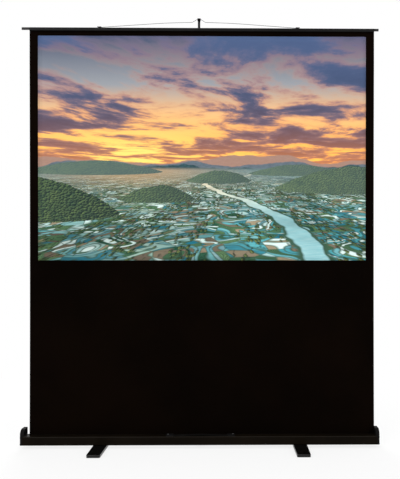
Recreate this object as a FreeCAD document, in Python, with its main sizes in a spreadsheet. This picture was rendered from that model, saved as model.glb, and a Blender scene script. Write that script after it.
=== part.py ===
import FreeCAD, Part

import math
import os
import re
from collections import namedtuple

import Sketcher

os.makedirs("parts", exist_ok=True)

# Pull-up projection screen. Millimetres, +Z up, the viewer stands at -Y, +X is the viewer's right.
# The origin lies on the floor, under the middle of the case.

Vector = FreeCAD.Vector
Circle = namedtuple("Circle", "x y radius")
LEFT, RIGHT = -1, 1

doc = FreeCAD.newDocument("projection_screen")
sheet = doc.addObject("Spreadsheet::Sheet", "Sizes")

SIZES = {
    # fabric
    "picture_width": 1626,
    "picture_height": 1112,
    "side_border": 41,
    "top_border": 24,
    "lower_drop": 861,
    "fabric_plane": 17,
    "fabric_thickness": 0.3,
    "picture_coating": 0.1,
    "fabric_shift": 8,
    # case and end caps
    "case_depth": 64,
    "case_height": 43,
    "case_wall": 2,
    "case_corner": 4,
    "slot_width": 10,
    "liner_width": 2,
    "liner_depth": 4,
    "liner_end_gap": 2,
    "port_diameter": 7.5,
    "port_inset": 5,
    "cap_thickness": 10,
    "cheek_thickness": 18,
    "cheek_wall": 3.5,
    "cheek_height": 35,
    "cheek_front_round": 28,
    "cheek_back_round": 5,
    "cap_edge": 1.5,
    "cap_screw": 3.2,
    "cap_screw_length": 26,
    "cap_screw_head": 6.4,
    "cap_screw_head_height": 2,
    "screw_clearance": 0.1,
    "drive_width": 1,
    "drive_length": 3.6,
    "drive_depth": 1,
    "tongue_clearance": 0.5,
    # roller
    "roller_diameter": 22,
    "roller_wall": 1.2,
    "roller_overhang": 1,
    "rest_turns": 3,
    "roll_clearance": 0.3,
    "bracket_thickness": 2,
    "bracket_width": 34,
    "bracket_clearance": 0.2,
    "roller_side_play": 1,
    "plug_length": 22,
    "plug_flange": 2,
    "axle_diameter": 8,
    "running_clearance": 0.08,
    "axle_end": 1,
    "shaft_length": 560,
    "spring_length": 420,
    "spring_offset": 60,
    "spring_coil": 2,
    # top bar
    "bar_depth": 10,
    "bar_height": 16,
    "bar_corner": 2.5,
    "bar_wall": 1.4,
    "bar_cavity_height": 5,
    "groove_slit": 1.2,
    "groove_height": 4.4,
    "spline_diameter": 4,
    "spline_clearance": 0.3,
    "tongue_overhang": 6,
    "tongue_height": 12,
    "tongue_depth": 8,
    "tongue_spigot": 24,
    "tongue_corner": 2.5,
    # suspension wire and its clips, which are set a little to the left together with the pole
    "hanger_shift": -10,
    "wire_diameter": 2.2,
    "clip_reach": 490,
    "clip_length": 16,
    "clip_depth": 9,
    "clip_height": 5,
    "clip_bore_height": 2.5,
    "clip_edge": 1.2,
    "wire_tail": 6,
    "wire_tail_gap": 3,
    "wire_tail_bend": 2.5,
    "wire_clip_bend": 30,
    "arm_reach": 170,
    "arm_rise": 26.5,
    "arm_bend": 2000,
    "kink_reach": 32,
    "kink_rise": 31.5,
    "kink_bend": 8,
    "hump_rise": 49.5,
    "hump_half_width": 8.5,
    "hump_bend": 5,
    "wire_seat_gap": 0.3,
    # pole
    "pivot_rise": 22,
    "lower_tube": 22,
    "middle_tube": 17,
    "upper_tube": 12.4,
    "tube_wall": 1.2,
    "lower_tube_length": 696,
    "middle_tube_length": 758,
    "tube_overlap": 70,
    "knuckle_round": 12.5,
    "knuckle_thickness": 28,
    "knuckle_shoulder": 18,
    "knuckle_spigot": 20,
    "knuckle_clearance": 0.5,
    "tube_fit": 0.1,
    "glide_length": 16,
    "glide_flange": 2,
    "pole_bracket_width": 48,
    "pole_bracket_base": 76,
    "pole_bracket_plate": 2.5,
    "pole_bracket_height": 36,
    "knuckle_web_gap": 1,
    "pole_bracket_corner": 6,
    "bracket_screw": 4,
    "bracket_screw_reach": 30,
    "bracket_screw_spread": 9,
    "bracket_screw_head": 8,
    "bracket_screw_head_height": 2.4,
    "bracket_screw_length": 7,
    "pivot_bolt": 8,
    "pivot_bolt_head": 15,
    "pivot_bolt_head_height": 3.5,
    "knob_diameter": 36,
    "knob_height": 14,
    "knob_scallop": 9,
    "knob_scallop_depth": 2,
    "knob_hub": 16,
    "knob_hub_height": 6,
    "knob_lobes": 6,
    "knob_gap": 0.3,
    "knob_edge": 1.5,
    # clamps of the pole
    "collar_wall": 4,
    "collar_height": 34,
    "collar_rise": 8,
    "collar_edge": 1.5,
    "ear_reach": 24,
    "ear_width": 14,
    "ear_height": 16,
    "clamp_split": 2,
    "clamp_bolt": 4,
    "clamp_bolt_reach": 19,
    "clamp_bolt_head": 7,
    "clamp_bolt_head_height": 3,
    "lever_pin": 5,
    "lever_pin_offset": 5,
    "lever_cam_gap": 0.3,
    "lever_height": 13,
    "lever_slot": 5.2,
    "lever_arm": 3.7,
    "lever_arm_gap": 1.8,
    "lever_tip": 15,
    "lever_edge": 1.2,
    # hook
    "hook_reach": 10,
    "hook_notch": 4.4,
    "hook_lip": 3.3,
    "hook_lip_height": 4,
    "hook_floor": 6,
    "hook_back_height": 8.3,
    "hook_head_width": 16,
    "hook_head_height": 9,
    "hook_spigot": 22,
    "hook_edge": 1.5,
    # feet
    "foot_reach": 490,
    "foot_length": 370,
    "foot_width": 68,
    "foot_tip_width": 64,
    "foot_thickness": 13.2,
    "foot_corner": 8,
    "foot_edge": 2,
    "foot_gap": 0.3,
    "foot_wall": 3,
    "foot_hollow_depth": 9,
    "foot_end_block": 46,
    "foot_boss": 15,
    "pad_diameter": 26,
    "pad_stand": 2.5,
    "pad_seat": 1,
    "pad_inset": 24,
    "foot_pivot": 10,
    "foot_pivot_head": 22,
    "foot_pivot_head_height": 3,
    "foot_pivot_flange": 0.8,
    # carry handle
    "handle_reach": 150,
    "handle_plane": -14,
    "handle_width": 22,
    "handle_thickness": 3,
    "handle_cap_length": 40,
    "handle_cap_width": 27,
    "handle_cap_height": 8,
    "handle_cap_edge": 2.5,
    "handle_strap_end": 12,
    "handle_screw": 4,
    "handle_screw_head": 8,
    "handle_screw_head_height": 1.5,
    "handle_screw_length": 12,
    "handle_screw_offset": 9,
}

for row, (alias, number) in enumerate(SIZES.items(), 1):
    sheet.set(f"A{row}", alias)
    sheet.set(f"B{row}", str(number))
    sheet.setAlias(f"B{row}", alias)
doc.recompute()

# Heights and places that follow from the sizes, as expressions over them.
CASE_BOTTOM = "(pad_stand + foot_thickness + foot_gap)"
CASE_TOP = f"({CASE_BOTTOM} + case_height)"
CASE_MIDDLE = f"({CASE_BOTTOM} + case_height / 2)"
CASE_BACK = "(case_depth / 2)"
FABRIC_WIDTH = "(picture_width + 2 * side_border)"
FABRIC_LEFT = f"(fabric_shift - {FABRIC_WIDTH} / 2)"
FABRIC_RIGHT = f"(fabric_shift + {FABRIC_WIDTH} / 2)"
PICTURE_BOTTOM = f"({CASE_TOP} + lower_drop)"
PICTURE_TOP = f"({PICTURE_BOTTOM} + picture_height)"
BAR_BOTTOM = f"({PICTURE_TOP} + top_border)"
BAR_TOP = f"({BAR_BOTTOM} + bar_height)"
SPLINE_HEIGHT = f"({BAR_BOTTOM} + groove_height)"
GROOVE_RADIUS = "(spline_diameter / 2 + spline_clearance)"
FABRIC_TOP = f"({SPLINE_HEIGHT} - {GROOVE_RADIUS})"
ROLL_RADIUS = "(roller_diameter / 2 + rest_turns * fabric_thickness)"
ROLLER_PLANE = f"(fabric_plane - fabric_thickness / 2 - roll_clearance - {ROLL_RADIUS})"
ROLLER_LENGTH = f"({FABRIC_WIDTH} + 2 * (fabric_shift + roller_overhang))"
CASE_LENGTH = f"({ROLLER_LENGTH} + 2 * (plug_flange + roller_side_play + bracket_thickness))"
CASE_END = f"({CASE_LENGTH} / 2)"
CAP_END = f"({CASE_END} + cap_thickness)"
ROLLER_BORE = "(roller_diameter - 2 * roller_wall)"
WIRE_AXIS = f"({BAR_TOP} + clip_bore_height)"
HOOK_FLOOR = f"({WIRE_AXIS} + hump_rise - wire_diameter / 2 - wire_seat_gap)"
PIVOT = f"({CASE_BOTTOM} + pivot_rise)"
LOWER_TUBE_BOTTOM = f"({PIVOT} + knuckle_shoulder)"
LOWER_TUBE_TOP = f"({LOWER_TUBE_BOTTOM} + lower_tube_length)"
MIDDLE_TUBE_BOTTOM = f"({LOWER_TUBE_TOP} - tube_overlap)"
MIDDLE_TUBE_TOP = f"({MIDDLE_TUBE_BOTTOM} + middle_tube_length)"
UPPER_TUBE_BOTTOM = f"({MIDDLE_TUBE_TOP} - tube_overlap)"
UPPER_TUBE_TOP = f"({HOOK_FLOOR} - hook_floor)"
BRACKET_INNER = f"({CASE_BACK} + pole_bracket_plate)"
POLE_PLANE = f"({BRACKET_INNER} + knuckle_clearance + knuckle_thickness / 2)"
BRACKET_OUTER = f"({POLE_PLANE} + knuckle_thickness / 2 + knuckle_clearance)"
BRACKET_BACK = f"({BRACKET_OUTER} + pole_bracket_plate)"
HOOK_NOTCH_PLANE = f"({POLE_PLANE} - hook_reach)"
FOOT_TOP = "(pad_stand + foot_thickness)"


def bound(expression):
    """The expression with every alias written as a reference to the sheet."""
    def reference(word):
        return f"Sizes.{word.group()}" if word.group() in SIZES else word.group()

    return re.sub(r"[a-z_]+", reference, str(expression))


def value(expression):
    """The number that an expression over the sizes stands for."""
    return float(sheet.evalExpression(str(expression)))


def new_body(name):
    body = doc.addObject("PartDesign::Body", name)
    body.Label = name
    body.AllowCompound = True
    return body


def origin_feature(body, role):
    return next(f for f in body.Origin.OriginFeatures if f.Role == role)


def hold_point(sketch, geometry, corner, point):
    """Ties a point of the sketch to its two coordinates."""
    for kind, coordinate in zip(("DistanceX", "DistanceY"), point):
        number = sketch.addConstraint(
            Sketcher.Constraint(kind, -1, 1, geometry, corner, value(coordinate))
        )
        sketch.setExpression(f"Constraints[{number}]", bound(coordinate))


def draw_circle(sketch, circle):
    centre = Vector(value(circle.x), value(circle.y), 0)
    geometry = sketch.addGeometry(Part.Circle(centre, Vector(0, 0, 1), value(circle.radius)), False)
    hold_point(sketch, geometry, 3, (circle.x, circle.y))
    number = sketch.addConstraint(Sketcher.Constraint("Radius", geometry, value(circle.radius)))
    sketch.setExpression(f"Constraints[{number}]", bound(circle.radius))


def draw_outline(sketch, points):
    corners = [Vector(value(x), value(y), 0) for x, y in points]
    ahead = corners[1:] + corners[:1]
    lines = sketch.addGeometry([Part.LineSegment(a, b) for a, b in zip(corners, ahead)], False)
    for line, following in zip(lines, lines[1:] + lines[:1]):
        sketch.addConstraint(Sketcher.Constraint("Coincident", line, 2, following, 1))
    for line, point in zip(lines, points):
        hold_point(sketch, line, 1, point)


def rectangle(left, right, bottom, top):
    return [(left, bottom), (right, bottom), (right, top), (left, top)]


def new_sketch(body, plane, loops, start):
    """A sketch across X ("YZ"), Y ("XZ") or Z ("XY"), where that coordinate is start."""
    sketch = body.newObject("Sketcher::SketchObject", f"{body.Name}_sketch")
    sketch.AttachmentSupport = [(origin_feature(body, f"{plane}_Plane"), "")]
    sketch.MapMode = "FlatFace"
    sketch.setExpression("AttachmentOffset.Base.z", bound(f"-({start})" if plane == "XZ" else start))
    for loop in loops:
        if isinstance(loop, Circle):
            draw_circle(sketch, loop)
        else:
            draw_outline(sketch, loop)
    return sketch


def extrude(kind, body, plane, loops, start, length, toward):
    sketch = new_sketch(body, plane, loops, start)
    feature = body.newObject(f"PartDesign::{kind}", f"{body.Name}_{kind.lower()}")
    feature.Profile = sketch
    feature.setExpression("Length", bound(length))
    feature.SideType = "One side" if toward else "Symmetric"
    # A pad follows the plane's normal and a pocket goes against it. The XZ plane's normal is -Y.
    along_normal = toward * (-1 if plane == "XZ" else 1)
    feature.Reversed = along_normal == (-1 if kind == "Pad" else 1)
    doc.recompute()
    return feature


def pad(body, plane, loops, start, length, toward=1):
    """Adds the loops' area, from start along the plane's axis; toward 0 spreads it evenly both ways."""
    return extrude("Pad", body, plane, loops, start, length, toward)


def pocket(body, plane, loops, start, length, toward=1):
    """Cuts the loops' area, from start along the plane's axis; toward 0 spreads it evenly both ways."""
    before = body.Shape.Volume
    feature = extrude("Pocket", body, plane, loops, start, length, toward)
    if body.Shape.Volume > before - 0.01:
        raise ValueError(f"a pocket of {body.Label} cuts nothing")
    return feature


def edge_middle(edge):
    return edge.valueAt((edge.FirstParameter + edge.LastParameter) / 2)


def edges_along(axis, points):
    """A test for straight edges along X, Y or Z that pass through one of the points across it."""
    across = [n for n in range(3) if n != "XYZ".index(axis)]
    places = [(value(a), value(b)) for a, b in points]

    def test(edge):
        direction = edge.tangentAt(edge.FirstParameter)
        middle = edge_middle(edge)
        return abs(direction["XYZ".index(axis)]) > 0.999 and any(
            math.hypot(middle[across[0]] - a, middle[across[1]] - b) < 0.01 for a, b in places
        )

    return test


def edges_at(axis, place):
    """A test for edges that lie wholly where the coordinate has this value."""
    number = "XYZ".index(axis)
    level = value(place)
    return lambda edge: all(
        abs(point[number] - level) < 0.01 for point in [edge_middle(edge), *(v.Point for v in edge.Vertexes)]
    )


def dress_edges(kind, size_name, body, size, test):
    base = body.Tip
    names = [f"Edge{n}" for n, edge in enumerate(base.Shape.Edges, 1) if test(edge)]
    feature = body.newObject(f"PartDesign::{kind}", f"{body.Name}_{kind.lower()}")
    feature.Base = (base, names)
    feature.setExpression(size_name, bound(size))
    doc.recompute()


def round_edges(body, radius, test):
    dress_edges("Fillet", "Radius", body, radius, test)


def bevel_edges(body, size, test):
    dress_edges("Chamfer", "Size", body, size, test)


def place(body, x="0", y="0", z="0"):
    for axis, coordinate in zip("xyz", (x, y, z)):
        body.setExpression(f"Placement.Base.{axis}", bound(coordinate))


def mirrored(side, expression):
    """The expression as a coordinate on the left or right side."""
    return f"({side} * {expression})"


def turned(name, axis, *steps):
    """A round piece along X, Y or Z: each step is (centre across the axis, radius, start, end)."""
    body = new_body(name)
    plane = {"X": "YZ", "Y": "XZ", "Z": "XY"}[axis]
    for (a, b), radius, start, end in steps:
        pad(body, plane, [Circle(a, b, radius)], start, f"({end}) - ({start})")
    return body


def tube(name, axis, centre, outside, bore, start, end):
    body = new_body(name)
    plane = {"X": "YZ", "Y": "XZ", "Z": "XY"}[axis]
    loops = [Circle(*centre, outside), Circle(*centre, bore)]
    pad(body, plane, loops, start, f"({end}) - ({start})")
    return body


def cross_recesses(body, plane, centres, face, inward):
    """A crossed recess for the driver in the face of each screw head."""
    half_long = "(drive_length / 2)"
    half_short = "(drive_width / 2)"
    for wide, high in ((half_long, half_short), (half_short, half_long)):
        slots = [
            rectangle(f"{a} - {wide}", f"{a} + {wide}", f"{b} - {high}", f"{b} + {high}") for a, b in centres
        ]
        pocket(body, plane, slots, face, "drive_depth", inward)


# Case

PORT_OUT = "(case_depth / 2 - port_inset)"
PORTS = [
    (y, z)
    for y in (f"-{PORT_OUT}", PORT_OUT)
    for z in (f"({CASE_BOTTOM} + port_inset)", f"({CASE_TOP} - port_inset)")
]


def make_case():
    """The extrusion: four walls, the fabric slot along the top and a screw port in each corner."""
    body = new_body("case_body")
    outer = rectangle(f"-{CASE_BACK}", CASE_BACK, CASE_BOTTOM, CASE_TOP)
    pad(body, "YZ", [outer], "0", CASE_LENGTH, 0)
    round_edges(body, "case_corner", edges_along("X", outer))
    inner = rectangle(
        f"case_wall - {CASE_BACK}",
        f"{CASE_BACK} - case_wall",
        f"{CASE_BOTTOM} + case_wall",
        f"{CASE_TOP} - case_wall",
    )
    pocket(body, "YZ", [inner], "0", CASE_LENGTH, 0)
    pad(body, "YZ", [Circle(y, z, "port_diameter / 2") for y, z in PORTS], "0", CASE_LENGTH, 0)
    bores = [Circle(y, z, "cap_screw / 2 + screw_clearance") for y, z in PORTS]
    pocket(body, "YZ", bores, "0", CASE_LENGTH, 0)
    slot = rectangle(
        f"-{CASE_END}", CASE_END, "fabric_plane - slot_width / 2", "fabric_plane + slot_width / 2"
    )
    pocket(body, "XY", [slot], CASE_TOP, "case_wall", -1)
    pivots = [Circle(mirrored(side, "foot_reach"), "0", "foot_pivot / 2") for side in (LEFT, RIGHT)]
    pocket(body, "XY", pivots, CASE_BOTTOM, "case_wall", 1)
    bolt_hole = [Circle("hanger_shift", PIVOT, "pivot_bolt / 2 + screw_clearance")]
    pocket(body, "XZ", bolt_hole, CASE_BACK, "case_wall", -1)
    screw_holes = [
        Circle(f"hanger_shift + {x}", z, "bracket_screw / 2 + screw_clearance") for x, z in BRACKET_SCREWS
    ]
    pocket(body, "XZ", screw_holes, CASE_BACK, "case_wall", -1)
    handle_holes = [Circle(x, "handle_plane", "handle_screw / 2 + screw_clearance") for x in HANDLE_SCREWS]
    pocket(body, "XY", handle_holes, CASE_TOP, "case_wall", -1)
    return body


def make_slot_liners():
    """Two strips that line the slot's edges, so that the fabric never rubs on metal."""
    body = new_body("slot_liners")
    for side in (LEFT, RIGHT):
        edge = f"(fabric_plane + {side} * slot_width / 2)"
        end = f"({CASE_END} - liner_end_gap)"
        strip = rectangle(f"-{end}", end, edge, f"{edge} - {side} * liner_width")
        pad(body, "XY", [strip], CASE_TOP, "liner_depth", -1)
    return body


def make_end_cap(side, name):
    """A moulded cap whose raised cheek is a hollow that the bar's tongue drops into from above."""
    body = new_body(name)
    end = mirrored(side, CAP_END)
    top = f"({CASE_TOP} + cheek_height)"
    outline = rectangle(f"-{CASE_BACK}", CASE_BACK, CASE_BOTTOM, top)
    pad(body, "YZ", [outline], end, "cap_thickness", -side)
    cheek = rectangle(f"-{CASE_BACK}", CASE_BACK, CASE_TOP, top)
    pad(body, "YZ", [cheek], end, "cheek_thickness", -side)
    half_hollow = f"({CASE_BACK} - cheek_wall)"
    hollow = rectangle(f"-{half_hollow}", half_hollow, CASE_TOP, f"{top} - cheek_wall")
    inner = mirrored(side, f"({CAP_END} - cheek_thickness)")
    pocket(body, "YZ", [hollow], inner, "cheek_thickness - cheek_wall", side)
    round_edges(body, "cheek_back_round - cheek_wall", edges_along("X", [hollow[2]]))
    round_edges(body, "cheek_front_round - cheek_wall", edges_along("X", [hollow[3]]))
    round_edges(body, "case_corner", edges_along("X", outline[:2]))
    round_edges(body, "cheek_back_round", edges_along("X", [outline[2]]))
    round_edges(body, "cheek_front_round", edges_along("X", [outline[3]]))
    round_edges(body, "cap_edge", edges_at("X", end))
    half_slot = "(bar_depth / 2 + tongue_clearance)"
    slot = rectangle(f"fabric_plane - {half_slot}", f"fabric_plane + {half_slot}", CASE_TOP, top)
    pocket(body, "YZ", [slot], end, "cheek_thickness", -side)
    bores = [Circle(y, z, "cap_screw / 2 + screw_clearance") for y, z in PORTS]
    pocket(body, "YZ", bores, end, "cap_thickness", -side)
    return body


def make_end_cap_screws():
    body = new_body("end_cap_screws")
    for side in (LEFT, RIGHT):
        end = mirrored(side, CAP_END)
        heads = [Circle(y, z, "cap_screw_head / 2") for y, z in PORTS]
        pad(body, "YZ", heads, end, "cap_screw_head_height", side)
        shanks = [Circle(y, z, "cap_screw / 2") for y, z in PORTS]
        pad(body, "YZ", shanks, end, "cap_screw_length", -side)
        face = mirrored(side, f"({CAP_END} + cap_screw_head_height)")
        cross_recesses(body, "YZ", PORTS, face, -side)
    return body


# Roller

ROLLER_AXIS = (ROLLER_PLANE, CASE_MIDDLE)


def make_roller_bracket(side, name):
    """A steel plate inside the end cap that carries one end of the roller."""
    body = new_body(name)
    half_height = "(case_height / 2 - case_wall - bracket_clearance)"
    plate = rectangle(
        f"{ROLLER_PLANE} - bracket_width / 2",
        f"{ROLLER_PLANE} + bracket_width / 2",
        f"{CASE_MIDDLE} - {half_height}",
        f"{CASE_MIDDLE} + {half_height}",
    )
    bore = Circle(*ROLLER_AXIS, "axle_diameter / 2 + running_clearance")
    pad(body, "YZ", [plate, bore], mirrored(side, CASE_END), "bracket_thickness", -side)
    round_edges(body, "case_corner", edges_along("X", plate))
    return body


def make_spring_shaft():
    """The shaft that stands still in the left bracket; the spring winds between it and the tube."""
    start = f"axle_end - {CASE_END}"
    return turned("spring_shaft", "X", (ROLLER_AXIS, "axle_diameter / 2", start, f"{start} + shaft_length"))


def make_roller_spring():
    """The close-wound spring round the shaft, as the sleeve that its coils fill."""
    start = f"(spring_offset - {CASE_END})"
    bore = "axle_diameter / 2 + running_clearance"
    return tube(
        "roller_spring", "X", ROLLER_AXIS, f"{bore} + spring_coil", bore, start, f"{start} + spring_length"
    )


def make_roller_plug(side, name):
    """An end plug of the roller tube: the left one turns on the fixed shaft, the right one is an axle."""
    body = new_body(name)
    tube_end = f"({ROLLER_LENGTH} / 2)"
    loops = [Circle(*ROLLER_AXIS, f"{ROLLER_BORE} / 2")]
    flange = [Circle(*ROLLER_AXIS, "roller_diameter / 2")]
    if side == LEFT:
        bore = Circle(*ROLLER_AXIS, "axle_diameter / 2 + running_clearance")
        loops.append(bore)
        flange.append(bore)
    pad(body, "YZ", loops, mirrored(side, tube_end), "plug_length", -side)
    pad(body, "YZ", flange, mirrored(side, tube_end), "plug_flange", side)
    if side == RIGHT:
        axle = [Circle(*ROLLER_AXIS, "axle_diameter / 2")]
        pad(body, "YZ", axle, tube_end, f"{CASE_END} - axle_end - {tube_end}", side)
    return body


def make_roller_tube():
    half = f"({ROLLER_LENGTH} / 2)"
    bore = f"{ROLLER_BORE} / 2"
    return tube("roller_tube", "X", ROLLER_AXIS, "roller_diameter / 2", bore, f"-{half}", half)


def make_fabric_roll():
    """The turns that stay on the tube when the screen is fully up."""
    return tube(
        "fabric_roll", "X", ROLLER_AXIS, ROLL_RADIUS, "roller_diameter / 2", FABRIC_LEFT, FABRIC_RIGHT
    )


# Fabric


def make_screen_fabric():
    """The black sheet, from the roll up into the groove of the top bar."""
    body = new_body("screen_fabric")
    sheet_outline = rectangle(FABRIC_LEFT, FABRIC_RIGHT, CASE_MIDDLE, FABRIC_TOP)
    pad(body, "XZ", [sheet_outline], "fabric_plane", "fabric_thickness", 0)
    return body


def make_viewing_surface():
    """The coating that takes the picture, on the front of the sheet."""
    body = new_body("viewing_surface")
    picture = rectangle(
        "fabric_shift - picture_width / 2", "fabric_shift + picture_width / 2", PICTURE_BOTTOM, PICTURE_TOP
    )
    pad(body, "XZ", [picture], "fabric_plane - fabric_thickness / 2", "picture_coating", -1)
    return body


# Top bar


def make_top_bar():
    """The bar's extrusion: a hollow that takes the tongues and, under it, a groove that grips the fabric."""
    body = new_body("top_bar")
    outline = rectangle(
        "fabric_plane - bar_depth / 2", "fabric_plane + bar_depth / 2", BAR_BOTTOM, BAR_TOP
    )
    pad(body, "YZ", [outline], FABRIC_LEFT, FABRIC_WIDTH)
    round_edges(body, "bar_corner", edges_along("X", outline))
    hollow = rectangle(
        "fabric_plane - bar_depth / 2 + bar_wall",
        "fabric_plane + bar_depth / 2 - bar_wall",
        f"{BAR_TOP} - bar_wall - bar_cavity_height",
        f"{BAR_TOP} - bar_wall",
    )
    pocket(body, "YZ", [hollow], FABRIC_LEFT, FABRIC_WIDTH)
    groove = Circle("fabric_plane", SPLINE_HEIGHT, GROOVE_RADIUS)
    pocket(body, "YZ", [groove], FABRIC_LEFT, FABRIC_WIDTH)
    slit = rectangle(
        "fabric_plane - groove_slit / 2", "fabric_plane + groove_slit / 2", BAR_BOTTOM, SPLINE_HEIGHT
    )
    pocket(body, "YZ", [slit], FABRIC_LEFT, FABRIC_WIDTH)
    return body


def make_fabric_spline():
    return turned(
        "fabric_spline",
        "X",
        (("fabric_plane", SPLINE_HEIGHT), "spline_diameter / 2", FABRIC_LEFT, FABRIC_RIGHT),
    )


def make_bar_end(side, name):
    """A tongue that drops into the cheek's slot, with a spigot pushed into the bar's hollow."""
    body = new_body(name)
    end = FABRIC_LEFT if side == LEFT else FABRIC_RIGHT
    tongue = rectangle(
        "fabric_plane - tongue_depth / 2",
        "fabric_plane + tongue_depth / 2",
        f"{BAR_TOP} - tongue_height",
        BAR_TOP,
    )
    pad(body, "YZ", [tongue], end, f"{CAP_END} + tongue_overhang - {side} * {end}", side)
    round_edges(body, "tongue_corner", edges_along("X", tongue))
    half_spigot = "(bar_depth / 2 - bar_wall - screw_clearance)"
    spigot = rectangle(
        f"fabric_plane - {half_spigot}",
        f"fabric_plane + {half_spigot}",
        f"{BAR_TOP} - bar_wall - bar_cavity_height + screw_clearance",
        f"{BAR_TOP} - bar_wall - screw_clearance",
    )
    pad(body, "YZ", [spigot], end, "tongue_spigot", -side)
    return body


def make_wire_clip(side, name):
    """A saddle on the bar whose bore lets the wire's end turn."""
    body = new_body(name)
    front = "fabric_plane - clip_depth / 2"
    back = "fabric_plane + clip_depth / 2"
    outline = rectangle(front, back, BAR_TOP, f"{BAR_TOP} + clip_height")
    pad(body, "YZ", [outline], mirrored(side, "clip_reach"), "clip_length", 0)
    round_edges(body, "clip_edge", edges_along("X", outline[2:]))
    bore = [Circle("fabric_plane", WIRE_AXIS, "wire_diameter / 2 + running_clearance")]
    pocket(body, "YZ", bore, mirrored(side, "clip_reach"), "clip_length", 0)
    return body


def rounded_path(points, radii):
    """A wire of straight runs joined by tangent arcs, one radius for each inner point."""
    edges = []
    start = points[0]
    for before, corner, after, radius in zip(points, points[1:], points[2:], radii):
        back = (before - corner).normalize()
        ahead = (after - corner).normalize()
        half_angle = back.getAngle(ahead) / 2
        reach = radius / math.tan(half_angle)
        inward = (back + ahead).normalize()
        first = corner + back * reach
        middle = corner + inward * (radius / math.sin(half_angle) - radius)
        last = corner + ahead * reach
        edges.append(Part.LineSegment(start, first).toShape())
        edges.append(Part.Arc(first, middle, last).toShape())
        start = last
    edges.append(Part.LineSegment(start, points[-1]).toShape())
    return Part.Wire(edges)


def make_suspension_wire():
    """Spring wire: turned-up ends in the clips, two bowed arms and a flat hump that sits in the hook."""
    lean = Vector(0, value(f"{HOOK_NOTCH_PLANE} - fabric_plane"), value("hump_rise"))
    slope = lean * (1 / value("hump_rise"))
    tail = value("clip_reach + clip_length / 2 + wire_tail_gap")
    leave = value("clip_reach - clip_length / 2 - wire_tail_gap")
    side_points = [
        (tail, value("wire_tail"), value("wire_tail_bend")),
        (tail, 0, value("wire_tail_bend")),
        (leave, 0, value("wire_clip_bend")),
        (value("arm_reach"), value("arm_rise"), value("arm_bend")),
        (value("kink_reach"), value("kink_rise"), value("kink_bend")),
        (value("hump_half_width"), value("hump_rise"), value("hump_bend")),
    ]
    line = [(-x, rise, bend) for x, rise, bend in side_points]
    line += reversed(side_points)
    origin = Vector(0, value("fabric_plane"), value(WIRE_AXIS))
    points = [origin + Vector(x, 0, 0) + slope * rise for x, rise, _ in line]
    path = rounded_path(points, [bend for _, _, bend in line[1:-1]])
    direction = points[1] - points[0]
    section = Part.Wire(Part.Circle(points[0], direction, value("wire_diameter / 2")).toShape())
    piece = doc.addObject("Part::Feature", "suspension_wire")
    piece.Label = "suspension_wire"
    piece.Shape = path.makePipeShell([section], True, False)
    area = math.pi * value("wire_diameter / 2") ** 2
    if abs(piece.Shape.Volume / (area * path.Length) - 1) > 0.01:
        raise ValueError("the wire's volume isn't its section times its length")
    return piece


# Pole

POLE = ("0", POLE_PLANE)
CLAMP_BOLT_PLANE = f"({POLE_PLANE} + clamp_bolt_reach)"
BRACKET_SCREWS = [
    (mirrored(side, "bracket_screw_reach"), f"({PIVOT} + {level} * bracket_screw_spread)")
    for side in (LEFT, RIGHT)
    for level in (-1, 1)
]


def make_pole_bracket():
    """A folded steel channel: a base plate screwed to the case, a web below and an ear behind the knuckle."""
    body = new_body("pole_bracket")
    half = "(pole_bracket_width / 2)"
    half_base = "(pole_bracket_base / 2)"
    low = f"({PIVOT} - knuckle_round - knuckle_web_gap - pole_bracket_plate)"
    high = f"({low} + pole_bracket_height)"
    base = rectangle(f"-{half_base}", half_base, low, high)
    pad(body, "XZ", [base], CASE_BACK, "pole_bracket_plate", 1)
    round_edges(body, "pole_bracket_corner", edges_along("Y", base))
    ear = rectangle(f"-{half}", half, low, high)
    pad(body, "XZ", [ear], BRACKET_OUTER, "pole_bracket_plate", 1)
    round_edges(body, "pole_bracket_corner", edges_along("Y", ear[2:]))
    web = rectangle(f"-{half}", half, low, f"{low} + pole_bracket_plate")
    pad(body, "XZ", [web], CASE_BACK, f"{BRACKET_BACK} - {CASE_BACK}", 1)
    bore = [Circle("0", PIVOT, "pivot_bolt / 2 + screw_clearance")]
    pocket(body, "XZ", bore, CASE_BACK, f"{BRACKET_BACK} - {CASE_BACK}", 1)
    screws = [Circle(x, z, "bracket_screw / 2 + screw_clearance") for x, z in BRACKET_SCREWS]
    pocket(body, "XZ", screws, CASE_BACK, "pole_bracket_plate", 1)
    return body


def make_pole_bracket_screws():
    body = new_body("pole_bracket_screws")
    heads = [Circle(x, z, "bracket_screw_head / 2") for x, z in BRACKET_SCREWS]
    pad(body, "XZ", heads, BRACKET_INNER, "bracket_screw_head_height", 1)
    shanks = [Circle(x, z, "bracket_screw / 2") for x, z in BRACKET_SCREWS]
    pad(body, "XZ", shanks, BRACKET_INNER, "bracket_screw_length", -1)
    cross_recesses(body, "XZ", BRACKET_SCREWS, f"{BRACKET_INNER} + bracket_screw_head_height", -1)
    return body


def make_pivot_bolt():
    """The bolt that the pole folds on: its head is inside the case, its end carries the knob."""
    inside = f"({CASE_BACK} - case_wall)"
    end = f"{BRACKET_BACK} + knob_gap + knob_hub_height + knob_height / 2"
    return turned(
        "pole_pivot_bolt",
        "Y",
        (("0", PIVOT), "pivot_bolt_head / 2", f"{inside} - pivot_bolt_head_height", inside),
        (("0", PIVOT), "pivot_bolt / 2", inside, end),
    )


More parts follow.
